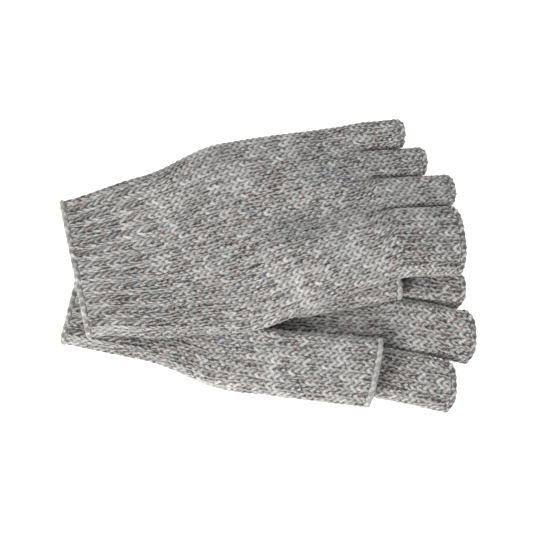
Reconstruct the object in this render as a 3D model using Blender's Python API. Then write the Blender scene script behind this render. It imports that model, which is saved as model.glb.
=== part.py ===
"""A pair of fingerless gloves knitted in ragg wool, lying palm to palm with the left glove on top.

It runs in Blender 4.5 (blender --background --python part.py). Sizes are in millimetres and
angles in degrees; the meshes are in metres.

Each glove has its own plan, with U from the cuff's edge towards the fingertips and V from the
thumb's side towards the little finger's side. A glove is a chain of flat tubes of knitted fabric:
cuff, hand, thumb and four short finger stalls, each open at its end and finished with a round edge.
The right glove lies on the table with its palm up and its thumb on top. The left glove lies on it
with its palm down: it is draped over the right glove and over its own thumb.
"""

import math

import bmesh
import bpy
from mathutils import Matrix, Vector

METRES = 0.001

# Knitted fabric
WALL = 3.0  # one layer of fabric
OPEN_HEIGHT = 5.6  # what a tube that lies flat keeps open inside
KNIT_GAP = 0.3  # between pieces that are knitted onto each other
REST_GAP = 0.4  # between layers that lie on each other
EDGE_THICKNESS = 3.6  # cast-on and bound-off edges
TUBE_HEIGHT = 2 * WALL + OPEN_HEIGHT

# Lengths along a glove, from the cuff's edge
CUFF_LENGTH = 46.0
KNUCKLES = 175.0  # where the finger stalls begin, just past the end of the thumb
THUMB_ROOT = 118.0  # where the thumb stall begins
GUSSET_LENGTH = 32.0  # of the thumb's gusset, which leaves the hand before the stall's root
GUSSET_START = THUMB_ROOT - GUSSET_LENGTH
THUMB_LENGTH = 52.0

# Widths of a glove that lies flat
CUFF_WIDTH = 81.0
WRIST_WIDTH = 96.5
PALM_WIDTH = 115.0
WIDEST_AT = 92.0  # along the glove
FINGER_GAP = 1.0  # between neighbouring finger stalls

# The left glove, draped over the right one
FALL_RUN = 52.0  # how far it takes to come down to the table beyond the right glove's edge
THUMB_RAMP = 27.0  # how far it takes to come down beside its own thumb
THUMB_FADE = 0.55  # share of the thumb's height that is gone at the fingertips

# Where a thumb's gusset starts inside the hand
GUSSET_HALF_WIDTH = 12.0
GUSSET_INWARD = 3.0  # from the thumb's root towards the middle of the hand
GUSSET_THINNER = 0.6  # than the hand, above and below

# Points around a flat tube's section
ROUND_STEPS = 6
STRAIGHT_STEPS = {"hand": 8, "finger": 4}
EDGE_SIDES = 6

WOOL = (0.36, 0.35, 0.335, 1.0)
EDGE_WOOL = (0.45, 0.44, 0.42, 1.0)


class Finger:
    """A finger stall: its width, its length past the knuckles and how far it rolls at its end."""

    def __init__(self, name, width, length, roll):
        self.name = name
        self.width = width
        self.length = length
        self.roll = roll


class Thumb:
    """A thumb stall: how far in from the near edge of the palm its middle lies and its width, at its
    root and at its end."""

    def __init__(self, root_in, end_in, root_width, end_width):
        self.root_in = root_in
        self.end_in = end_in
        self.root_width = root_width
        self.end_width = end_width


class Glove:
    """One glove's place on the table and what differs from one hand to the other.

    middles holds the V of its middle line at the cuff's edge, the wrist, the widest place and the
    knuckles. The finger stalls leave at finger_heading, and their open ends are cut at end_turn.
    """

    def __init__(self, side, cuff, heading, finger_heading, end_turn, middles, thumb, fingers):
        self.side = side
        self.cuff = Vector(cuff)
        self.heading = math.radians(heading)
        self.finger_heading = math.radians(finger_heading)
        self.end_turn = math.radians(end_turn)
        self.palm_up = side == "right"
        self.middles = middles
        self.thumb = thumb
        palm_edge = middles[2] - PALM_WIDTH / 2
        self.thumb_root_v = palm_edge + thumb.root_in
        self.thumb_end_v = palm_edge + thumb.end_in
        self.fingers = fingers

    def to_table(self, u, v):
        """The place on the table, in millimetres, of a point of the glove's plan."""
        c, s = math.cos(self.heading), math.sin(self.heading)
        return self.cuff.x + u * c - v * s, self.cuff.y + u * s + v * c

    def to_plan(self, x, y):
        """The point of the glove's plan above a place on the table."""
        c, s = math.cos(self.heading), math.sin(self.heading)
        x, y = x - self.cuff.x, y - self.cuff.y
        return x * c + y * s, y * c - x * s


LEFT = Glove(
    "left",
    cuff=(-103.5, -12.0),
    heading=12.5,
    finger_heading=-7.5,
    end_turn=-7.5,
    middles=(-1.5, -3.6, -1.2, 2.0),
    thumb=Thumb(root_in=19.2, end_in=18.2, root_width=34.0, end_width=34.0),
    fingers=(
        Finger("index", width=42.0, length=34.5, roll=-3.0),
        Finger("middle", width=21.5, length=38.0, roll=-9.0),
        Finger("ring", width=18.0, length=27.5, roll=-9.0),
        Finger("little", width=17.5, length=19.5, roll=-6.0),
    ),
)

RIGHT = Glove(
    "right",
    cuff=(-100.0, -6.3),
    heading=-12.0,
    finger_heading=0.5,
    end_turn=12.0,
    middles=(-8.0, -0.25, 2.0, 6.75),
    thumb=Thumb(root_in=17.5, end_in=23.0, root_width=38.0, end_width=40.0),
    fingers=(
        Finger("index", width=28.5, length=38.0, roll=5.0),
        Finger("middle", width=29.0, length=43.5, roll=9.0),
        Finger("ring", width=21.0, length=33.0, roll=8.0),
        Finger("little", width=17.0, length=20.0, roll=0.0),
    ),
)


def smooth(t):
    """0 below 0 and 1 above 1, with a smooth step between them."""
    t = min(max(t, 0.0), 1.0)
    return t * t * (3 - 2 * t)


def along(u, stations):
    """A smooth curve through (u, value) stations that stays level at the first and the last."""
    for (u0, a), (u1, b) in zip(stations, stations[1:]):
        if u <= u1:
            return a + (b - a) * smooth((u - u0) / (u1 - u0))
    return stations[-1][1]


def knuckle_width(glove):
    """The width of the knuckles, which the finger stalls side by side fill exactly."""
    return sum(f.width for f in glove.fingers) + FINGER_GAP * (len(glove.fingers) - 1)


def hand_edges(glove, u):
    """The near and far V of the cuff and hand at a distance from the cuff's edge."""
    stations = (0.0, CUFF_LENGTH, WIDEST_AT, KNUCKLES)
    widths = (CUFF_WIDTH, WRIST_WIDTH, PALM_WIDTH, knuckle_width(glove))
    half = along(u, tuple(zip(stations, widths))) / 2
    middle = along(u, tuple(zip(stations, glove.middles)))
    return middle - half, middle + half


def over_right_glove(x, y):
    """1 where the right glove lies under a place on the table, falling to 0 beyond its far edge."""
    u, v = RIGHT.to_plan(x, y)
    far = hand_edges(RIGHT, min(u, KNUCKLES))[1]
    return 1 - smooth((v - far) / FALL_RUN)


def over_left_thumb(x, y):
    """1 where the left thumb lies under the left glove, falling to 0 beside it and behind it."""
    u, v = LEFT.to_plan(x, y)
    thumb = LEFT.thumb
    behind = smooth((u - GUSSET_START + 14.0) / (THUMB_ROOT - GUSSET_START + 14.0))
    beside = smooth((LEFT.thumb_root_v + thumb.root_width / 2 + THUMB_RAMP - v) / THUMB_RAMP)
    ends = THUMB_ROOT + THUMB_LENGTH + EDGE_THICKNESS + 3 * KNIT_GAP
    fade = 1 - THUMB_FADE * smooth((u - ends) / thumb.root_width)
    return behind * beside * fade


def rest_height(glove, x, y, on_thumb=True):
    """How high above the table a glove's underside lies."""
    if glove is RIGHT:
        return 0.0
    height = REST_GAP + over_right_glove(x, y) * TUBE_HEIGHT
    if on_thumb:
        height += over_left_thumb(x, y) * (TUBE_HEIGHT + REST_GAP)
    return height


def section(half_width, half_height, straight_steps):
    """The points (s, z) of a flat tube's section: straight above and below, round at its sides."""
    reach = half_width - half_height
    points = []
    for end in (1, -1):
        for i in range(ROUND_STEPS + 1):
            turn = math.radians(180.0 * i / ROUND_STEPS - 90.0)
            points.append((
                end * (reach + half_height * math.cos(turn)),
                end * half_height * math.sin(turn),
            ))
        for i in range(1, straight_steps):
            points.append((end * reach * (1 - 2 * i / straight_steps), end * half_height))
    return points


def ring(glove, u, v, turn, half_width, half_height, z, steps, roll=0.0, on_thumb=True):
    """A section's points on the table's frame, in millimetres, about a centre at height z above the
    glove's underside. turn is the angle of the section across the glove's plan."""
    points = []
    c, s = math.cos(roll), math.sin(roll)
    for across, up in section(half_width, half_height, steps):
        across, up = across * c - up * s, across * s + up * c
        x, y = glove.to_table(u - across * math.sin(turn), v + across * math.cos(turn))
        points.append(Vector((x, y, z + up + rest_height(glove, x, y, on_thumb))))
    return points


def scaled_mesh(name, points, faces, frame):
    """A mesh from points in millimetres, in metres and in the local frame of its parent."""
    mesh = bpy.data.meshes.new(name)
    to_local = frame.inverted()
    mesh.from_pydata([to_local @ (p * METRES) for p in points], [], faces)
    shape = bmesh.new()
    shape.from_mesh(mesh)
    bmesh.ops.recalc_face_normals(shape, faces=shape.faces)
    shape.to_mesh(mesh)
    shape.free()
    mesh.shade_smooth()
    mesh.set_sharp_from_angle(angle=math.radians(50))
    return mesh


def add_object(name, points, faces, material, parent):
    mesh = scaled_mesh(name, points, faces, parent.matrix_world)
    mesh.materials.append(material)
    obj = bpy.data.objects.new(name, mesh)
    bpy.context.scene.collection.objects.link(obj)
    obj.parent = parent
    return obj


def quads_between(first, second, count):
    """Faces from one ring of points to the next, by the index of each ring's first point."""
    return [
        (first + j, first + (j + 1) % count, second + (j + 1) % count, second + j)
        for j in range(count)
    ]


def tube(name, outer, inner, material, parent):
    """An open tube between an outer and an inner loft with the same rings."""
    count = len(outer[0])
    points = [p for r in outer + inner for p in r]
    start_of_inner = len(outer) * count
    faces = []
    for i in range(len(outer) - 1):
        faces += quads_between(i * count, (i + 1) * count, count)
        faces += quads_between(start_of_inner + i * count, start_of_inner + (i + 1) * count, count)
    last = (len(outer) - 1) * count
    faces += quads_between(0, start_of_inner, count)
    faces += quads_between(last, start_of_inner + last, count)
    return add_object(name, points, faces, material, parent)


def solid_loft(name, rings, material, parent):
    """A closed solid through rings of points, with a flat cap at each end."""
    count = len(rings[0])
    faces = [tuple(range(count)), tuple((len(rings) - 1) * count + j for j in range(count))]
    for i in range(len(rings) - 1):
        faces += quads_between(i * count, (i + 1) * count, count)
    return add_object(name, [p for r in rings for p in r], faces, material, parent)


def round_edge(name, rim, beyond, material, parent):
    """A round cord of yarn around a rim, lying just beyond it."""
    radius = EDGE_THICKNESS / 2
    count = len(rim)
    points = []
    for j in range(count):
        tangent = (rim[(j + 1) % count] - rim[j - 1]).normalized()
        outward = tangent.cross(beyond).normalized()
        centre = rim[j] + beyond * (KNIT_GAP + radius)
        for i in range(EDGE_SIDES):
            turn = math.tau * i / EDGE_SIDES
            points.append(centre + radius * (math.cos(turn) * outward + math.sin(turn) * beyond))
    faces = []
    for j in range(count):
        faces += quads_between(j * EDGE_SIDES, (j + 1) % count * EDGE_SIDES, EDGE_SIDES)
    return add_object(name, points, faces, material, parent)


def cut(obj, cutter, operation):
    """A Boolean modifier, with the other shape kept as a hidden helper."""
    cutter.hide_render = True
    cutter.display_type = "WIRE"
    modifier = obj.modifiers.new(cutter.name, "BOOLEAN")
    modifier.operation = operation
    modifier.solver = "EXACT"
    modifier.object = cutter


def hand_ring(glove, u, inset):
    """A section across the cuff or hand. inset is how far it lies inside the outer face."""
    near, far = hand_edges(glove, u)
    return ring(
        glove, u, (near + far) / 2, 0.0, (far - near) / 2 - inset, TUBE_HEIGHT / 2 - inset,
        TUBE_HEIGHT / 2, STRAIGHT_STEPS["hand"],
    )


def spread(start, end, count):
    return [start + (end - start) * i / (count - 1) for i in range(count)]


def build_cuff(glove, wool, edge_wool, parent):
    stations = spread(0.0, CUFF_LENGTH, 5)
    tube(
        f"{glove.side}_cuff_rib",
        [hand_ring(glove, u, 0.0) for u in stations],
        [hand_ring(glove, u, WALL) for u in stations],
        wool, parent,
    )
    back = -Vector((math.cos(glove.heading), math.sin(glove.heading), 0.0))
    rim = hand_ring(glove, 0.0, EDGE_THICKNESS / 2)
    round_edge(f"{glove.side}_cuff_cast_on_edge", rim, back, edge_wool, parent)


def thumb_height(glove):
    """The height of the thumb's middle above the underside of the layer that the thumb lies on."""
    middle = TUBE_HEIGHT / 2
    return middle + TUBE_HEIGHT + REST_GAP if glove.palm_up else middle


def gusset_rings(glove, inset):
    """The thumb's gusset, from inside the hand to the root of the thumb stall."""
    thumb = glove.thumb
    rings = []
    for t in spread(0.0, 1.0, 6):
        u = GUSSET_START + (THUMB_ROOT - GUSSET_START) * t
        v = glove.thumb_root_v + GUSSET_INWARD * (1 - t)
        x, y = glove.to_table(u, v)
        of_hand = TUBE_HEIGHT / 2 + rest_height(glove, x, y)
        of_hand -= rest_height(glove, x, y, on_thumb=False)
        z = of_hand + (thumb_height(glove) - of_hand) * smooth(t)
        half_width = GUSSET_HALF_WIDTH + (thumb.root_width / 2 - GUSSET_HALF_WIDTH) * smooth(t)
        half_height = TUBE_HEIGHT / 2 - GUSSET_THINNER * (1 - t)
        rings.append(ring(
            glove, u, v, 0.0, half_width - inset, half_height - inset, z,
            STRAIGHT_STEPS["finger"], on_thumb=False,
        ))
    return rings


def build_hand(glove, wool, parent):
    start, end = CUFF_LENGTH + KNIT_GAP, KNUCKLES - KNIT_GAP
    stations = spread(start, end, 12)
    hand = solid_loft(
        f"{glove.side}_hand_tube", [hand_ring(glove, u, 0.0) for u in stations], wool, parent
    )
    beyond = [start - WALL] + stations + [end + WALL]
    cavity = solid_loft(
        f"{glove.side}_hand_cavity", [hand_ring(glove, u, WALL) for u in beyond], wool, parent
    )
    gusset = solid_loft(f"{glove.side}_gusset", gusset_rings(glove, 0.0), wool, parent)
    opening = gusset_rings(glove, WALL)
    ahead = Vector((math.cos(glove.heading), math.sin(glove.heading), 0.0))
    opening[-1] = [p + ahead * KNIT_GAP for p in opening[-1]]
    opening.append([p + ahead * WALL for p in opening[-1]])
    gusset_cavity = solid_loft(f"{glove.side}_gusset_cavity", opening, wool, parent)
    cut(hand, gusset, "UNION")
    cut(hand, cavity, "DIFFERENCE")
    cut(hand, gusset_cavity, "DIFFERENCE")


class Stall:
    """A stall on the plan: where it starts and ends, its width there, how its open end is cut and
    how far it rolls. z is the height of its middle above the glove's underside."""

    def __init__(self, glove, name, start, end, widths, turn, roll, z, on_thumb):
        self.glove = glove
        self.name = name
        self.start, self.end = start, end
        self.widths = widths
        self.turn = turn
        self.roll = math.radians(roll)
        self.z = z
        self.on_thumb = on_thumb
        self.heading = math.atan2(end[1] - start[1], end[0] - start[0])

    def rings(self, inset):
        """Its rings from its root, which runs straight across the glove, to its end."""
        rings = []
        for t in spread(0.0, 1.0, 5):
            half_width = (self.widths[0] + (self.widths[1] - self.widths[0]) * t) / 2
            half_height = TUBE_HEIGHT / 2
            tilt = self.roll * smooth(t)
            raised = (half_width - half_height) * abs(math.sin(tilt))
            rings.append(ring(
                self.glove,
                self.start[0] + (self.end[0] - self.start[0]) * t,
                self.start[1] + (self.end[1] - self.start[1]) * t,
                self.turn * t, half_width - inset, half_height - inset, self.z + raised,
                STRAIGHT_STEPS["finger"], tilt, self.on_thumb,
            ))
        return rings

    def across(self):
        """The level direction across the stall, towards the little finger's side."""
        turn = self.glove.heading + self.heading
        return Vector((-math.sin(turn), math.cos(turn), 0.0))

    def root_slope(self):
        """How steeply the top of its root rises across the stall."""
        root = self.rings(0.0)[0]
        by_side = sorted(root, key=lambda p: p.dot(self.across()))
        quarter = len(root) // 4
        near = max(by_side[:quarter], key=lambda p: p.z)
        far = max(by_side[-quarter:], key=lambda p: p.z)
        return (far.z - near.z) / (far - near).dot(self.across())

    def fold_axis(self, slope):
        """The axis that it folds up about: it runs across the stall with a slope, above every
        point of the root."""
        root = self.rings(0.0)[0]
        middle = sum(root, Vector()) / len(root)
        top = max(p.z - slope * (p - middle).dot(self.across()) for p in root)
        direction = -(self.across() + Vector((0.0, 0.0, slope))).normalized()
        return Vector((middle.x, middle.y, top)), direction

    def swing_axis(self):
        """The upright axis that it swings out about: it stands at the near side of its root."""
        near = min(self.rings(0.0)[0], key=lambda p: self.glove.to_plan(p.x, p.y)[1])
        return near, Vector((0.0, 0.0, -1.0))


def add_pivot(name, place, axis):
    """An empty on a joint's axis, with its Y along that axis."""
    turned = Vector((0, 1, 0)).rotation_difference(axis).to_matrix().to_4x4()
    empty = bpy.data.objects.new(name, None)
    empty.matrix_world = Matrix.Translation(place * METRES) @ turned
    bpy.context.scene.collection.objects.link(empty)
    bpy.context.view_layer.update()
    return empty


def build_stall(stall, kind, axis, materials):
    """A stall and its bound-off edge, parented to the empty on the axis that it moves about."""
    wool, edge_wool = materials
    side = stall.glove.side
    pivot = add_pivot(f"{side}_{stall.name}_{kind}", *axis)
    tube(f"{side}_{stall.name}_stall", stall.rings(0.0), stall.rings(WALL), wool, pivot)
    turn = stall.glove.heading + stall.turn
    beyond = Vector((math.cos(turn), math.sin(turn), 0.0))
    rim = stall.rings(EDGE_THICKNESS / 2)[-1]
    round_edge(f"{side}_{stall.name}_bound_off_edge", rim, beyond, edge_wool, pivot)


def build_fingers(glove, materials):
    """The finger stalls side by side. Their axes have one slope, that of the steepest root, so
    neighbours that fold together stay clear of each other."""
    near, _ = hand_edges(glove, KNUCKLES)
    stalls = []
    for finger in glove.fingers:
        v = near + finger.width / 2
        end_v = v + finger.length * math.tan(glove.finger_heading)
        stalls.append(Stall(
            glove, finger.name, (KNUCKLES, v), (KNUCKLES + finger.length, end_v),
            (finger.width, finger.width), glove.end_turn, finger.roll, TUBE_HEIGHT / 2, True,
        ))
        near += finger.width + FINGER_GAP
    slope = max((stall.root_slope() for stall in stalls), key=abs)
    for stall in stalls:
        build_stall(stall, "fold", stall.fold_axis(slope), materials)


def build_thumb(glove, materials):
    thumb = glove.thumb
    root = THUMB_ROOT + KNIT_GAP
    stall = Stall(
        glove, "thumb", (root, glove.thumb_root_v), (root + THUMB_LENGTH, glove.thumb_end_v),
        (thumb.root_width, thumb.end_width), 0.0, 0.0, thumb_height(glove), False,
    )
    if glove.palm_up:
        build_stall(stall, "fold", stall.fold_axis(0.0), materials)
    else:
        build_stall(stall, "swing", stall.swing_axis(), materials)


def material(name, colour):
    made = bpy.data.materials.new(name)
    made.use_nodes = True
    shader = made.node_tree.nodes["Principled BSDF"]
    shader.inputs["Base Color"].default_value = colour
    shader.inputs["Roughness"].default_value = 0.95
    shader.inputs["Metallic"].default_value = 0.0
    return made


def stand_on_origin():
    """Moves the pair so that the middle of its underside is at the origin."""
    seen = bpy.context.evaluated_depsgraph_get()
    points = [
        obj.matrix_world @ vertex.co
        for obj in bpy.data.objects if obj.type == "MESH" and not obj.hide_render
        for vertex in obj.evaluated_get(seen).data.vertices
    ]
    low = [min(p[i] for p in points) for i in range(3)]
    high = [max(p[i] for p in points) for i in range(3)]
    middle = Vector(((low[0] + high[0]) / 2, (low[1] + high[1]) / 2, low[2]))
    for obj in bpy.data.objects:
        if obj.parent is None:
            obj.location -= middle


def main():
    for obj in list(bpy.data.objects):
        bpy.data.objects.remove(obj)
    wool = material("ragg_wool", WOOL)
    edge_wool = material("edge_yarn", EDGE_WOOL)
    for glove in (RIGHT, LEFT):
        whole = bpy.data.objects.new(f"{glove.side}_glove", None)
        bpy.context.scene.collection.objects.link(whole)
        build_cuff(glove, wool, edge_wool, whole)
        build_hand(glove, wool, whole)
        build_thumb(glove, (wool, edge_wool))
        build_fingers(glove, (wool, edge_wool))
    stand_on_origin()


main()
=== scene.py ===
"""The looks of a pair of knitted fingerless gloves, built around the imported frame.

The gloves' sizes are in millimetres and degrees, and become metres when a mesh is made. The camera,
the lights and the table are in metres. Each glove has its own plan, with U from the cuff's edge
towards the fingertips and V from the thumb's side towards the little finger's side. Each piece of
knitting is a sleeve: a closed wall between an outer face, raised stitch by stitch, and a plain inner
face.
"""

import math

import bpy
import numpy as np
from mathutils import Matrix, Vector


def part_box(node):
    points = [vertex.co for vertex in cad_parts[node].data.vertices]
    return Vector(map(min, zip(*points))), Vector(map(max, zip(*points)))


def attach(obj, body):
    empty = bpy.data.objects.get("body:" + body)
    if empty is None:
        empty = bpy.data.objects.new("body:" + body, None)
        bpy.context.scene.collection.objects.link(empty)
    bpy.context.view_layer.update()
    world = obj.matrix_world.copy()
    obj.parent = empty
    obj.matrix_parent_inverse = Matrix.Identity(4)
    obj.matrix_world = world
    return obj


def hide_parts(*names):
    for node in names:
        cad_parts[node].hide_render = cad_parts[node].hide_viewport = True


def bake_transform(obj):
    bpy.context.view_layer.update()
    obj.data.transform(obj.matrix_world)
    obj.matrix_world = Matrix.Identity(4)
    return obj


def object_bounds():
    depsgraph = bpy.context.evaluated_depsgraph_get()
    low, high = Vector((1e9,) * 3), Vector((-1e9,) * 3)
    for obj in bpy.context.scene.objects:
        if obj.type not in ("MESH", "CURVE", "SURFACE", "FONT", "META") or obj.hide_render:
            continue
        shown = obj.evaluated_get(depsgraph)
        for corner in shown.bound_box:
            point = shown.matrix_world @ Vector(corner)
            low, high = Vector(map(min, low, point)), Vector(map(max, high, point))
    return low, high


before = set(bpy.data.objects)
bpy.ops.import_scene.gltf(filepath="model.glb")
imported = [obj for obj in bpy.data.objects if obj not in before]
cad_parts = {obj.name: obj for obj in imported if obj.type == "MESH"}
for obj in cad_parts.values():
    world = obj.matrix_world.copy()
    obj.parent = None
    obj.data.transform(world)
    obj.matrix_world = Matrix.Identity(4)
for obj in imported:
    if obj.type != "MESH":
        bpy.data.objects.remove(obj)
CAD_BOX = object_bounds()
METRES = 0.001

# The CAD model's sizes
WALL = 3.0
OPEN_HEIGHT = 5.6
HEIGHT = 2 * WALL + OPEN_HEIGHT  # of a tube that lies flat
KNIT_GAP = 0.3
REST_GAP = 0.4
EDGE_THICKNESS = 3.6
CUFF_LENGTH = 46.0
KNUCKLES = 175.0
GUSSET_START = 86.0
GUSSET_HALF_WIDTH = 12.0
GUSSET_INWARD = 3.0
GUSSET_THINNER = 0.6
THUMB_LEAD = 14.0  # how far before the gusset the left glove begins to rise over its thumb
THUMB_ROOT = 118.0
THUMB_LENGTH = 52.0
CUFF_WIDTH = 81.0
WRIST_WIDTH = 96.5
PALM_WIDTH = 115.0
WIDEST_AT = 92.0
FINGER_GAP = 1.0
FALL_RUN = 52.0
THUMB_RAMP = 27.0
THUMB_FADE = 0.55
FINGER_NAMES = ("index", "middle", "ring", "little")

# Knitting
STEPS = 8  # points across a stitch
ROWS = 6  # points along a stitch
CUFF_COURSE = 4.0  # length of a stitch in the cuff
COURSE = 3.5
THUMB_STITCHES = 9  # across the thumb, on each of its faces
CORNER = 4.5  # how far the corners of a finger stall's end are rounded
THUMB_CORNER = 1.5
GUSSET_BACK = 52.0  # where the right thumb's gusset starts, within the hand's near side
GUSSET_WITHIN = 0.6  # how far within the hand's outer face it starts
GUSSET_OUTWARD = 0.9  # how far it comes out from there
GUSSET_PARTS = 12.0  # length over which it comes out
GUSSET_RISE = 60.0  # where it begins to rise
GUSSET_LEAN = 84.0  # where it begins to move over the palm
GUSSET_SQUEEZE = 1.2  # how much its half height is less, where it hasn't risen
GUSSET_HALF_CELL = 2.3  # half a stitch's width on the gussets
FORK = 15.0  # how far before the knuckles the creases between the fingers begin
RELIEF = 0.85  # height of a strand of yarn
STRAND = 0.92  # half its width
RIB_DEPTH = 0.65  # how far the purl stitches of the cuff lie back
UNEVEN = 0.38  # rise and fall of the top of the pair
PAIR_HEIGHT = 35.0  # where that rise and fall is whole
RIB_FADE = 16.0  # length over which the ribs fade into the hand
CREASE_POWER = 1.6  # how late the creases between the fingers deepen
INNER_EVERY = 6  # the inner face of a sleeve has one ring for this many of the outer face's
BLEND_RUN = 13.0  # length past a stall's root, which bend_piece reads; nothing bends over it

# A stitch: two legs of yarn that lean towards each other and meet at its apex
PLAIN_SHARE = 0.5  # of a pair of wales that the plain one takes, which is more in the ribs
RIB_SHARE = 0.14
APEX = -0.1  # across a wale, from its middle
LEG_RUN = 0.8  # how far a leg goes from the apex to the wale's side, in one course
LEG_START = 0.13
SPREAD = 0.12  # how unevenly the legs lie, which is more in the ribs
RIB_SPREAD = 0.14

# Edges
CHAIN_SIDES = 12
CHAIN_STEPS = 10  # rings for each stitch of the chain
CUFF_CHAIN = 5.0  # length of a stitch of the cuff's chain
CHAIN = 4.2
CHAIN_INSET = 0.87  # of the cord's radius, from the rim inwards
CHAIN_AHEAD = 0.7  # of the gap and the radius, from the rim outwards along the glove
# How far an edge's yarn is lightened towards plain off-white
CUFF_EDGE_LIGHTNESS = 0.3
THUMB_EDGE_LIGHTNESS = 0.5
FINGER_EDGE_LIGHTNESS = 0.1

FLOOR = -0.0006  # height of the table's top, in metres

# Camera, in metres and degrees
DISTANCE = 1.2
ELEVATION = 72.0
LENS = 146.0
VIEW_DOWN = -0.0055  # the camera aims this far from the pair's middle, towards the near side


class Glove:
    """One glove's place in the frame and what differs from one hand to the other."""

    def __init__(self, side, heading, finger_heading, end_turn, middles, thumb, fingers):
        self.side = side
        self.heading = math.radians(heading)
        self.finger_heading = math.radians(finger_heading)
        self.end_turn = math.radians(end_turn)
        self.palm_up = side == "right"
        self.middles = middles
        self.root_v, self.end_v, self.thumb_width, self.thumb_end_width = thumb
        self.widths, self.lengths, self.rolls, self.stitches = zip(*fingers)
        self.ahead = np.array([math.cos(self.heading), math.sin(self.heading)])
        low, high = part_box(f"{side}_cuff_cast_on_edge")
        edge_middle = np.array((low + high).xy) / METRES / 2
        across = np.array([-self.ahead[1], self.ahead[0]])
        self.cuff = edge_middle + self.ahead * (KNIT_GAP + EDGE_THICKNESS / 2) - across * middles[0]

    def to_table(self, u, v):
        c, s = self.ahead
        return self.cuff[0] + u * c - v * s, self.cuff[1] + u * s + v * c

    def to_plan(self, x, y):
        c, s = self.ahead
        x, y = x - self.cuff[0], y - self.cuff[1]
        return x * c + y * s, y * c - x * s

    def edges(self, u):
        """The near and far V of the cuff and hand."""
        knuckles = sum(self.widths) + FINGER_GAP * (len(self.widths) - 1)
        half = along(u, (CUFF_WIDTH, WRIST_WIDTH, PALM_WIDTH, knuckles)) / 2
        middle = along(u, self.middles)
        return middle - half, middle + half

    def finger_middles(self):
        near = float(self.edges(KNUCKLES)[0])
        middles = []
        for width in self.widths:
            middles.append(near + width / 2)
            near += width + FINGER_GAP
        return middles


def smooth(t):
    t = np.clip(t, 0.0, 1.0)
    return t * t * (3 - 2 * t)


def along(u, values):
    """A smooth curve through values at the cuff's edge, wrist, widest place and knuckles."""
    stations = (0.0, CUFF_LENGTH, WIDEST_AT, KNUCKLES)
    curve = values[0] + 0.0 * np.asarray(u)
    for k in range(3):
        t = smooth((u - stations[k]) / (stations[k + 1] - stations[k]))
        curve = curve + (values[k + 1] - values[k]) * t
    return curve


# Finger stalls: width, length, roll at the end, stitches across each face
LEFT = Glove(
    "left", 12.5, -7.5, -7.5, middles=(-1.5, -3.6, -1.2, 2.0), thumb=(-39.5, -40.5, 34.0, 34.0),
    fingers=(
        (42.0, 34.5, -3.0, 10), (21.5, 38.0, -9.0, 6), (18.0, 27.5, -9.0, 5), (17.5, 19.5, -6.0, 5),
    ),
)
RIGHT = Glove(
    "right", -12.0, 0.5, 12.0, middles=(-8.0, -0.25, 2.0, 6.75), thumb=(-38.0, -32.5, 38.0, 40.0),
    fingers=(
        (28.5, 38.0, 5.0, 7), (29.0, 43.5, 9.0, 7), (21.0, 33.0, 8.0, 6), (17.0, 20.0, 0.0, 5),
    ),
)


def over_right_glove(x, y):
    """1 where the right glove lies under a place, falling to 0 beyond its far edge."""
    u, v = RIGHT.to_plan(x, y)
    far = RIGHT.edges(np.minimum(u, KNUCKLES))[1]
    return 1 - smooth((v - far) / FALL_RUN)


def over_left_thumb(x, y):
    """1 where the left thumb lies under the left glove, falling to 0 beside it and behind it."""
    u, v = LEFT.to_plan(x, y)
    behind = smooth((u - GUSSET_START + THUMB_LEAD) / (THUMB_ROOT - GUSSET_START + THUMB_LEAD))
    beside = smooth((LEFT.root_v + LEFT.thumb_width / 2 + THUMB_RAMP - v) / THUMB_RAMP)
    ends = THUMB_ROOT + THUMB_LENGTH + EDGE_THICKNESS + 3 * KNIT_GAP
    fade = 1 - THUMB_FADE * smooth((u - ends) / LEFT.thumb_width)
    return behind * beside * fade


def rest_height(glove, x, y, on_thumb=True):
    if glove is RIGHT:
        return np.zeros_like(x)
    height = REST_GAP + over_right_glove(x, y) * HEIGHT
    if on_thumb:
        height = height + over_left_thumb(x, y) * (HEIGHT + REST_GAP)
    return height


def half_section(share, half_width, half_height):
    """Points (across, up) over the top of a flat tube's section, from its near side, at shares of
    the way over it."""
    quarter = math.pi / 2 * half_height
    straight = 2 * (half_width - half_height)
    whole = straight + 2 * quarter
    way = share * whole
    back = whole - way
    a = np.minimum(way, quarter) / half_height
    b = np.minimum(back, quarter) / half_height
    across = np.where(
        way < quarter,
        -half_width + half_height * (1 - np.cos(a)),
        np.where(
            back < quarter,
            half_width - half_height * (1 - np.cos(b)),
            -half_width + half_height + way - quarter,
        ),
    )
    up = np.where(way < quarter, half_height * np.sin(a), half_height * np.sin(b))
    up = np.where((way >= quarter) & (back >= quarter), half_height, up)
    return across, up


def ring_shares(stitches):
    """The share of the way over a face, the face's sign, and the stitch for each point of a ring."""
    count = stitches * STEPS
    over = np.arange(count + 1) / count
    share = np.concatenate([over, over[-2:0:-1]])
    face = np.concatenate([np.ones(count + 1), -np.ones(count - 1)])
    return share, face, np.arange(2 * count) / STEPS


def place(glove, u, v, across, up, turn, tilt, z, on_thumb=True):
    """Points in the frame of sections about centres at (u, v) and height z above the underside."""
    a = across * np.cos(tilt) - up * np.sin(tilt)
    b = across * np.sin(tilt) + up * np.cos(tilt)
    x, y = glove.to_table(u - a * np.sin(turn), v + a * np.cos(turn))
    return np.stack([x, y, z + b + rest_height(glove, x, y, on_thumb)], axis=-1)


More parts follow.
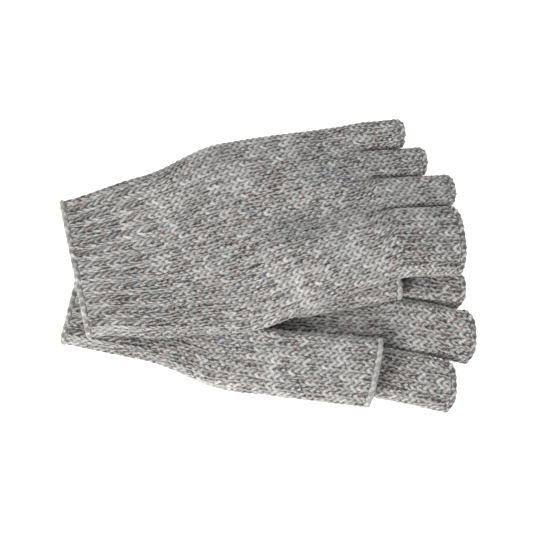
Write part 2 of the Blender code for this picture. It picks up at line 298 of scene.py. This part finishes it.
def hand_points(glove, u):
    """The outer face of the cuff and hand, with creases between the fingers at its end."""
    stitches = sum(glove.stitches)
    share, face, _ = ring_shares(stitches)
    near, far = glove.edges(u)
    half = (far - near)[:, None] / 2 + FINGER_GAP / 2
    middle = (far + near)[:, None] / 2
    across, up = half_section(share[None, :], half, HEIGHT / 2)
    v_hand = middle + across
    v_finger = np.zeros_like(share)
    up_finger = np.zeros_like(share)
    start = 0
    for width, count, centre in zip(glove.widths, glove.stitches, glove.finger_middles()):
        own = (share >= start / stitches - 1e-9) & (share <= (start + count) / stitches + 1e-9)
        part = np.clip((share[own] * stitches - start) / count, 0, 1)
        a, b = half_section(part, (width + FINGER_GAP) / 2, HEIGHT / 2)
        v_finger[own] = centre + a
        up_finger[own] = b
        start += count
    t = smooth((u - KNUCKLES + FORK) / FORK)[:, None] ** CREASE_POWER
    v = v_hand + (v_finger[None, :] - v_hand) * t
    up = up + (up_finger[None, :] - up) * t
    return place(glove, u[:, None], v, 0.0, up * face, 0.0, 0.0, HEIGHT / 2)


def stall_points(glove, start, end, t, widths, stitches, turn, roll, z, corner, on_thumb):
    """The outer face of a stall between two places on the plan, with round corners at its end."""
    share, face, _ = ring_shares(stitches)
    t = t[:, None]
    half_width = (widths[0] + (widths[1] - widths[0]) * t) / 2
    tilt = math.radians(roll) * smooth(t)
    raised = (half_width - HEIGHT / 2) * np.abs(np.sin(tilt))
    across, up = half_section(share[None, :], half_width, HEIGHT / 2)
    back = corner * np.abs(across / half_width) ** 3 * smooth(t) ** 2
    return place(
        glove,
        start[0] + (end[0] - start[0]) * t - back * math.cos(turn),
        start[1] + (end[1] - start[1]) * t - back * math.sin(turn),
        across, up * face, turn * t, tilt, z + raised, on_thumb,
    )


def thumb_height(glove):
    return HEIGHT / 2 + (HEIGHT + REST_GAP if glove.palm_up else 0.0)


def upper_gusset_points(glove, u):
    """The outer face of a gusset that lies on the palm. It starts within the hand's near side, where
    its stitches lie on the hand's own, and rises to the root of the thumb."""
    share, face, _ = ring_shares(THUMB_STITCHES)
    u = u[:, None]
    near, far = glove.edges(u)
    quarters = math.pi / 2 * HEIGHT
    over_hand = far - near + FINGER_GAP - HEIGHT + quarters
    width = THUMB_STITCHES * over_hand / sum(glove.stitches) - quarters + HEIGHT
    t = smooth((u - GUSSET_LEAN) / (THUMB_ROOT - GUSSET_LEAN))
    within = GUSSET_WITHIN - GUSSET_OUTWARD * smooth((u - GUSSET_BACK) / GUSSET_PARTS)
    near = near - FINGER_GAP / 2 + within
    near = near + (glove.root_v - glove.thumb_width / 2 - near) * t
    width = width + (glove.thumb_width - width) * t
    rise = smooth((u - GUSSET_RISE) / (THUMB_ROOT - GUSSET_RISE))
    thin = GUSSET_SQUEEZE * (1 - rise)
    z = HEIGHT / 2 + (thumb_height(glove) - HEIGHT / 2) * rise + thin - within * (1 - rise)
    across, up = half_section(share[None, :], width / 2, HEIGHT / 2 - thin)
    return place(glove, u, near + width / 2, across, up * face, 0.0, 0.0, z, False)


def lower_gusset_points(glove, u):
    """The outer face of a gusset that lies under the palm, from inside the hand to the thumb."""
    share, face, _ = ring_shares(THUMB_STITCHES)
    t = (u[:, None] - GUSSET_START) / (THUMB_ROOT - GUSSET_START)
    u = u[:, None]
    v = glove.root_v + GUSSET_INWARD * (1 - t)
    x, y = glove.to_table(u, v)
    of_hand = HEIGHT / 2 + rest_height(glove, x, y) - rest_height(glove, x, y, False)
    z = of_hand + (thumb_height(glove) - of_hand) * smooth(t)
    half_width = GUSSET_HALF_WIDTH + (glove.thumb_width / 2 - GUSSET_HALF_WIDTH) * smooth(t)
    half_height = HEIGHT / 2 - GUSSET_THINNER * (1 - t)
    across, up = half_section(share[None, :], half_width, half_height)
    return place(glove, u, v, across, up * face, 0.0, 0.0, z, False)


def scatter(*keys):
    """Numbers from 0 to 1 that look random and depend only on the keys."""
    total = sum(np.asarray(k, float) * f for k, f in zip(keys, (12.9898, 78.233, 37.719, 9.131)))
    value = np.sin(total) * 43758.5453
    return value - np.floor(value)


def slow_noise(x, seed):
    """A smooth random line."""
    i = np.floor(x)
    t = smooth(x - i)
    return scatter(i, seed) * (1 - t) + scatter(i + 1, seed) * t


def knit(wale, course, rib, half_cell, row):
    """Height and colour of the knitting at each point. wale counts stitches across, course along,
    rib is 1 in the cuff, half_cell is half a stitch's width and row its length."""
    pair = np.mod(wale + 0.5, 2.0) - 1
    share = PLAIN_SHARE + RIB_SHARE * rib
    plain = np.abs(pair) < share
    own = pair / (2 * share)
    other = np.sign(pair) * (np.abs(pair) - 1) / (2 * (1 - share))
    a = np.where(plain, own, other)
    column = np.where(plain, np.floor((wale + 0.5) / 2) * 2, np.floor(wale / 2) * 2 + 1)
    width = half_cell * np.where(plain, 2 * share, 2 * (1 - share))
    right = a > APEX
    x = np.where(right, (a - APEX) / (0.5 - APEX), (APEX - a) / (0.5 + APEX))
    reach = width * np.where(right, 0.5 - APEX, 0.5 + APEX) * 2
    angle = np.arctan2(LEG_RUN * reach, row)
    best = np.full(a.shape, -1.0)
    across = np.zeros_like(a)
    along_leg = np.zeros_like(a)
    leg = np.zeros_like(a)
    whole = np.floor(course)
    for step in (-1, 0, 1):
        k = whole + step
        q = course - k
        jitter = (SPREAD + RIB_SPREAD * rib) * (scatter(column, k, right) - 0.5)
        middle = LEG_START + jitter + LEG_RUN * q
        p = (x - middle) * reach * np.cos(angle) / STRAND
        body = np.sqrt(np.clip(1 - p * p, 0, 1))
        ends = smooth((q + 0.35) / 0.5) * smooth((1.42 - q) / 0.5)
        height = body * ends * (0.72 + 0.28 * np.sin(np.clip(q + 0.1, 0, 1) * math.pi))
        better = height > best
        best = np.where(better, height, best)
        across = np.where(better, p, across)
        along_leg = np.where(better, q, along_leg)
        leg = np.where(better, k, leg)
    valley = 1 - 0.3 * rib * smooth((np.abs(a) - 0.36) / 0.14) * plain
    height = RELIEF * best * valley - np.where(plain, 0, RIB_DEPTH * rib)
    # The colour also carries painted shade, from the strands' height, in the gaps between the
    # stitches.
    return height, yarn_colour(column, leg, right, across, along_leg, best, rib)


OFF_WHITE = np.array([0.565, 0.56, 0.55])
GREY = np.array([0.105, 0.105, 0.106])
DARK = np.array([0.032, 0.031, 0.033])
BROWN = np.array([0.13, 0.076, 0.066])
BLUE = np.array([0.10, 0.125, 0.165])
# The sleeves' inner face: a plain dark grey, darker than the yarn, as painted shade inside the
# sleeves.
SHADED_INSIDE = GREY * 0.9


def yarn_colour(column, leg, right, across, along_leg, depth, rib=0.0):
    """Marled yarn: an off-white ply and a grey one twisted together, with odd brown and blue ones."""
    own = scatter(column, leg, right, 1.0)
    other = scatter(leg, column, right, 5.0)
    third = scatter(column * 1.7, leg * 0.3, right, 11.0)
    slow = 0.6 * slow_noise(leg * 0.43 + column * 0.21, 3.0)
    slow = slow + 0.4 * slow_noise(column * 0.37 - leg * 0.18, 8.0)
    twist = 0.5 + 0.5 * np.sin(2 * math.pi * (along_leg * 0.85 + across * 0.66 + own))
    darkness = np.clip(other * 1.2 + 0.22 - 0.1 * rib + (slow - 0.5) * 1.05, 0, 1)
    amount = (darkness * smooth(twist * 1.9 - 0.3))[..., None]
    light = OFF_WHITE * (0.63 + 0.4 * own)[..., None]
    streak = np.where((third > 0.5)[..., None], GREY, DARK)
    streak = np.where((third > 0.8)[..., None], BROWN, streak)
    streak = np.where((third < 0.025)[..., None], BLUE, streak)
    colour = light + (streak - light) * amount
    # Painted shade: the colour darkens where the strand lies low, in the gaps between the stitches
    # and at the ends of the legs.
    return colour * (0.27 + 0.73 * smooth(depth * 1.3))[..., None]


def normals(points):
    """Outward unit normals of a grid of rings."""
    along = np.gradient(points, axis=0)
    around = np.roll(points, -1, axis=1) - np.roll(points, 1, axis=1)
    n = np.cross(around, along)
    n /= np.maximum(np.linalg.norm(n, axis=2, keepdims=True), 1e-9)
    middle = points.mean(axis=1, keepdims=True)
    if ((points - middle) * n).sum() < 0:
        n = -n
    return n


def ring_normals(ring, ahead):
    """Outward unit normals of one ring that lie in its own plane across the glove."""
    around = np.roll(ring, -1, axis=0) - np.roll(ring, 1, axis=0)
    n = np.cross(around, np.array([ahead[0], ahead[1], 0.0]))
    n /= np.maximum(np.linalg.norm(n, axis=1, keepdims=True), 1e-9)
    if ((ring - ring.mean(axis=0)) * n).sum() < 0:
        n = -n
    return n


def settle(points):
    """Knitting never lies quite flat: the higher it lies, the more it rises and falls."""
    x, y, z = points[:, 0], points[:, 1], points[:, 2]
    swell = np.sin(x / 11 + 1.3 * np.sin(y / 17)) + np.sin(y / 9 + 1.1 * np.sin(x / 19) + 2)
    points = points.copy()
    points[:, 2] += UNEVEN * swell * np.clip(z / PAIR_HEIGHT, 0, 1)
    return points


def mesh_object(name, points, faces, colours, material):
    points = settle(points)
    mesh = bpy.data.meshes.new(name)
    mesh.from_pydata((points * METRES).tolist(), [], faces)
    attribute = mesh.color_attributes.new("yarn", "FLOAT_COLOR", "POINT")
    rgba = np.concatenate([colours, np.ones((len(colours), 1))], axis=1)
    attribute.data.foreach_set("color", rgba.astype(np.float32).ravel())
    mesh.materials.append(material)
    mesh.shade_smooth()
    obj = bpy.data.objects.new(name, mesh)
    bpy.context.scene.collection.objects.link(obj)
    return obj


def ring_faces(points, outward):
    """Faces between each ring of points and the next, and between the last and the first. They face
    the way that outward points at the first corner."""
    rings, count = points.shape[:2]
    i = np.arange(rings)[:, None]
    j = np.arange(count)[None, :]
    i2, j2 = (i + 1) % rings, (j + 1) % count
    corners = [i * count + j, i * count + j2, i2 * count + j2, i2 * count + j]
    faces = np.stack(corners, axis=-1).reshape(-1, 4)
    a, b, c = points.reshape(-1, 3)[faces[0][:3]]
    if np.dot(np.cross(b - a, c - b), outward) < 0:
        faces = faces[:, ::-1]
    return faces.tolist()


def sleeve(name, base, heights, colours, first=None, last=None):
    """A closed wall of knitting around a grid of rings. Its highest strands lie on the grid. first
    and last are the normals to use on the first and last ring, where another piece shares it."""
    n = normals(base)
    if first is not None:
        n[0] = first
    if last is not None:
        n[-1] = last
    outer = base + n * (heights - RELIEF)[..., None]
    rows = sorted({*range(0, len(base), INNER_EVERY), len(base) - 1}, reverse=True)
    inner = (base - n * WALL)[rows]
    rings = np.concatenate([outer, inner])
    # The inner face gets a plain dark grey, which is painted shade.
    tones = np.concatenate([colours, np.broadcast_to(SHADED_INSIDE, inner.shape)])
    faces = ring_faces(rings, n[0, 0])
    return mesh_object(name, rings.reshape(-1, 3), faces, tones.reshape(-1, 3), WOOL)


def course_at(u):
    """How many stitches lie between the cuff's edge and a place along a glove."""
    in_cuff = np.minimum(u, CUFF_LENGTH) / CUFF_COURSE
    return in_cuff + np.maximum(u - CUFF_LENGTH, 0.0) / COURSE


def spread(start, end, step):
    """Even places from start to end, about a step apart."""
    count = max(int(round((end - start) / step)), 2)
    return np.linspace(start, end, count + 1)


def build_hand(glove):
    """The cuff, the hand and the cuff's edge. The cuff and the hand meet in one ring of points."""
    cuff_u = spread(0.0, CUFF_LENGTH, CUFF_COURSE / ROWS)
    hand_u = spread(CUFF_LENGTH, KNUCKLES, COURSE / ROWS)
    u = np.concatenate([cuff_u, hand_u[1:]])
    stitches = sum(glove.stitches)
    _, _, wale = ring_shares(stitches)
    base = hand_points(glove, u)
    rib = 1 - smooth((u - CUFF_LENGTH + RIB_FADE / 2) / RIB_FADE)
    half_cell = (PALM_WIDTH / stitches / 2) * np.ones_like(u)
    height, colour = knit(
        wale[None, :], course_at(u)[:, None] + 0 * wale[None, :], rib[:, None],
        half_cell[:, None], np.where(u < CUFF_LENGTH, CUFF_COURSE, COURSE)[:, None],
    )
    split = len(cuff_u) - 1
    shared = normals(base)[split]
    cuff = sleeve(
        f"{glove.side}_cuff_knit", base[:split + 1], height[:split + 1], colour[:split + 1],
        last=shared,
    )
    hand = sleeve(
        f"{glove.side}_hand_knit", base[split:], height[split:], colour[split:],
        first=shared, last=ring_normals(base[-1], glove.ahead),
    )
    finish_piece(cuff, f"{glove.side}_glove", "ragg_wool", f"{glove.side}_cuff_rib")
    finish_piece(hand, f"{glove.side}_glove", "ragg_wool", f"{glove.side}_hand_tube")
    edge = cord_edge(
        f"{glove.side}_cuff_edge", base[0], -glove.ahead, CUFF_CHAIN, CUFF_EDGE_LIGHTNESS,
    )
    finish_piece(edge, f"{glove.side}_glove", "edge_yarn", f"{glove.side}_cuff_cast_on_edge")


def finish_piece(obj, body, slot, *nodes):
    """Says which body a piece rides on and which CAD nodes it replaces. slot, what it is made of, is
    not used.
    """
    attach(obj, body)
    if nodes:
        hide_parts(*nodes)


def bend_piece(obj, glove, u_root, node):
    """Bakes a stall's knitting into its place and hides the stall's CAD node."""
    x0, y0 = glove.to_table(u_root, 0.0)
    x1, y1 = glove.to_table(u_root + BLEND_RUN, 0.0)
    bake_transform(obj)
    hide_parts(node)


def build_stall(
    glove, name, start, end, widths, stitches, turn, roll, z, corner, on_thumb, wale_start,
):
    """A finger's or thumb's stall between two places on the plan, and the edge at its end."""
    length = end[0] - start[0]
    t = spread(0.0, length, COURSE / ROWS) / length
    base = stall_points(
        glove, start, end, t, widths, stitches, turn, roll, z, corner, on_thumb,
    )
    _, _, wale = ring_shares(stitches)
    wale = wale + wale_start
    course = course_at(start[0] + length * t)
    half_cell = (widths[0] - HEIGHT + math.pi * HEIGHT / 2) / stitches / 2
    height, colour = knit(
        wale[None, :], course[:, None] + 0 * wale[None, :], np.zeros((len(t), 1)), half_cell, COURSE,
    )
    piece = sleeve(
        f"{glove.side}_{name}_knit", base, height, colour,
        first=ring_normals(base[0], glove.ahead),
    )
    bend_piece(piece, glove, start[0], f"{glove.side}_{name}_stall")
    beyond = np.array([math.cos(glove.heading + turn), math.sin(glove.heading + turn)])
    lightness = THUMB_EDGE_LIGHTNESS if name == "thumb" else FINGER_EDGE_LIGHTNESS
    edge = cord_edge(f"{glove.side}_{name}_edge", base[-1], beyond, CHAIN, lightness)
    finish_piece(
        edge, f"{glove.side}_{name}", "edge_yarn", f"{glove.side}_{name}_bound_off_edge",
    )


def cord_edge(name, rim, beyond, pitch, lightness):
    """A chain of stitches around the mouth of a sleeve."""
    radius = EDGE_THICKNESS / 2
    ahead = np.array([beyond[0], beyond[1], 0.0])
    closed = np.concatenate([rim, rim[:1]])
    gaps = np.linalg.norm(np.diff(closed, axis=0), axis=1)
    way = np.concatenate([[0.0], np.cumsum(gaps)])
    turns = round(way[-1] / pitch)
    count = turns * CHAIN_STEPS
    at = np.arange(count) / count * way[-1]
    path = np.stack([np.interp(at, way, closed[:, m]) for m in range(3)], axis=-1)
    tangent = np.roll(path, -1, axis=0) - np.roll(path, 1, axis=0)
    tangent /= np.linalg.norm(tangent, axis=1, keepdims=True)
    outward = np.cross(tangent, ahead)
    outward /= np.linalg.norm(outward, axis=1, keepdims=True)
    if ((path - path.mean(axis=0)) * outward).sum() < 0:
        outward = -outward
    centre = path - outward * (radius * CHAIN_INSET) + ahead * (KNIT_GAP + radius) * CHAIN_AHEAD
    phi = np.arange(CHAIN_SIDES) / CHAIN_SIDES * 2 * math.pi
    q = np.arange(count) / CHAIN_STEPS
    wave = np.cos(2 * (phi[None, :] - math.pi * q[:, None]))
    r = radius * (0.92 + 0.14 * wave)
    points = (
        centre[:, None, :]
        + (r * np.cos(phi)[None, :])[..., None] * outward[:, None, :]
        + (r * np.sin(phi)[None, :])[..., None] * ahead[None, None, :]
    )
    leg = np.floor(q)[:, None] + 0 * phi[None, :]
    # Painted shade: the chain's colour darkens in its grooves, where the cord is thinnest.
    depth = smooth(0.55 + 0.5 * wave)
    colours = yarn_colour(
        leg * 0 + 3, leg, phi[None, :] > 3, phi[None, :] / 6 + 0 * leg, q[:, None] % 1 + 0 * leg,
        depth,
    )
    colours = colours * (1 - lightness) + OFF_WHITE * lightness
    faces = ring_faces(points, outward[0])
    return mesh_object(name, points.reshape(-1, 3), faces, colours.reshape(-1, 3), EDGE_WOOL)


def build_fingers(glove):
    wale = 0
    for i, name in enumerate(FINGER_NAMES):
        v = glove.finger_middles()[i]
        end_v = v + glove.lengths[i] * math.tan(glove.finger_heading)
        width = glove.widths[i] + FINGER_GAP
        build_stall(
            glove, name, (KNUCKLES, v), (KNUCKLES + glove.lengths[i], end_v), (width, width),
            glove.stitches[i], glove.end_turn, glove.rolls[i], HEIGHT / 2, CORNER, True, wale,
        )
        wale += glove.stitches[i]


def build_thumb(glove):
    """The thumb's stall and the gusset that joins it to the hand."""
    build_stall(
        glove, "thumb", (THUMB_ROOT, glove.root_v), (THUMB_ROOT + THUMB_LENGTH, glove.end_v),
        (glove.thumb_width, glove.thumb_end_width), THUMB_STITCHES, 0.0, 0.0,
        thumb_height(glove), THUMB_CORNER, False, 0,
    )
    u = spread(GUSSET_BACK if glove.palm_up else GUSSET_START, THUMB_ROOT, COURSE / ROWS)
    base = (upper_gusset_points if glove.palm_up else lower_gusset_points)(glove, u)
    _, _, wale = ring_shares(THUMB_STITCHES)
    height, colour = knit(
        wale[None, :], course_at(u)[:, None] + 0 * wale[None, :], np.zeros((len(u), 1)),
        GUSSET_HALF_CELL, COURSE,
    )
    piece = sleeve(
        f"{glove.side}_gusset_knit", base, height, colour,
        last=ring_normals(base[-1], glove.ahead),
    )
    finish_piece(piece, f"{glove.side}_glove", "ragg_wool")


def wool_material(name):
    """Matt wool: the yarn's own colours, broken up by fine fibres, with a soft sheen."""
    made = bpy.data.materials.new(name)
    made.use_nodes = True
    nodes, links = made.node_tree.nodes, made.node_tree.links
    shader = nodes["Principled BSDF"]
    shader.inputs["Roughness"].default_value = 0.92
    shader.inputs["Sheen Weight"].default_value = 0.35
    shader.inputs["Sheen Roughness"].default_value = 0.5
    yarn = nodes.new("ShaderNodeAttribute")
    yarn.attribute_name = "yarn"
    place_node = nodes.new("ShaderNodeTexCoord")
    fibres = nodes.new("ShaderNodeTexNoise")
    fibres.inputs["Scale"].default_value = 1900.0
    fibres.inputs["Detail"].default_value = 3.0
    fibres.inputs["Roughness"].default_value = 0.7
    stretch = nodes.new("ShaderNodeMapping")
    stretch.inputs["Scale"].default_value = (0.45, 1.0, 1.0)
    links.new(place_node.outputs["Object"], stretch.inputs["Vector"])
    links.new(stretch.outputs["Vector"], fibres.inputs["Vector"])
    level = nodes.new("ShaderNodeMapRange")
    level.inputs["From Min"].default_value = 0.3
    level.inputs["From Max"].default_value = 0.7
    level.inputs["To Min"].default_value = 0.64
    level.inputs["To Max"].default_value = 1.36
    links.new(fibres.outputs["Fac"], level.inputs["Value"])
    tint = nodes.new("ShaderNodeVectorMath")
    tint.operation = "SCALE"
    links.new(yarn.outputs["Color"], tint.inputs[0])
    links.new(level.outputs["Result"], tint.inputs["Scale"])
    links.new(tint.outputs["Vector"], shader.inputs["Base Color"])
    bump = nodes.new("ShaderNodeBump")
    bump.inputs["Strength"].default_value = 0.5
    bump.inputs["Distance"].default_value = 0.0003
    links.new(fibres.outputs["Fac"], bump.inputs["Height"])
    links.new(bump.outputs["Normal"], shader.inputs["Normal"])
    return made


def add_camera():
    low, high = CAD_BOX
    middle = (Vector(low) + Vector(high)) / 2 + Vector((0, VIEW_DOWN, 0))
    tilt = math.radians(ELEVATION)
    data = bpy.data.cameras.new("camera")
    data.lens = LENS
    camera = bpy.data.objects.new("camera", data)
    bpy.context.scene.collection.objects.link(camera)
    camera.location = middle + Vector((0, -math.cos(tilt), math.sin(tilt))) * DISTANCE
    camera.rotation_euler = (math.radians(90) - tilt, 0, 0)
    bpy.context.scene.camera = camera


def add_light(name, place_at, size, energy, colour):
    """A square lamp that faces the frame's origin."""
    data = bpy.data.lights.new(name, "AREA")
    data.size = size
    data.energy = energy
    data.color = colour
    light = bpy.data.objects.new(name, data)
    bpy.context.scene.collection.objects.link(light)
    light.location = place_at
    light.rotation_euler = Vector(place_at).to_track_quat("Z", "Y").to_euler()


def add_stage():
    """A bright table, an even surround, a key light and a softer fill."""
    mesh = bpy.data.meshes.new("floor")
    corners = [(-4, -4), (4, -4), (4, 4), (-4, 4)]
    mesh.from_pydata([(x, y, FLOOR) for x, y in corners], [], [(0, 1, 2, 3)])
    floor = bpy.data.objects.new("floor", mesh)
    bpy.context.scene.collection.objects.link(floor)
    paper = bpy.data.materials.new("paper")
    paper.use_nodes = True
    shader = paper.node_tree.nodes["Principled BSDF"]
    shader.inputs["Base Color"].default_value = (0.8, 0.8, 0.8, 1)
    shader.inputs["Roughness"].default_value = 0.9
    shader.inputs["Emission Color"].default_value = (1, 1, 1, 1)
    shader.inputs["Emission Strength"].default_value = 0.75
    mesh.materials.append(paper)
    world = bpy.data.worlds.new("studio")
    bpy.context.scene.world = world
    world.use_nodes = True
    world.node_tree.nodes["Background"].inputs["Color"].default_value = (1, 1, 1, 1)
    world.node_tree.nodes["Background"].inputs["Strength"].default_value = 0.55
    add_light("key", (-0.55, -0.75, 0.6), 0.5, 12.0, (1.0, 0.98, 0.95))
    add_light("fill", (0.6, 0.5, 0.9), 0.9, 4.0, (0.92, 0.96, 1.0))
    bpy.context.scene.view_settings.view_transform = "Standard"


add_camera()
WOOL = wool_material("ragg_wool_knit")
EDGE_WOOL = wool_material("edge_wool_chain")
for each in (RIGHT, LEFT):
    build_hand(each)
    build_thumb(each)
    build_fingers(each)
add_stage()
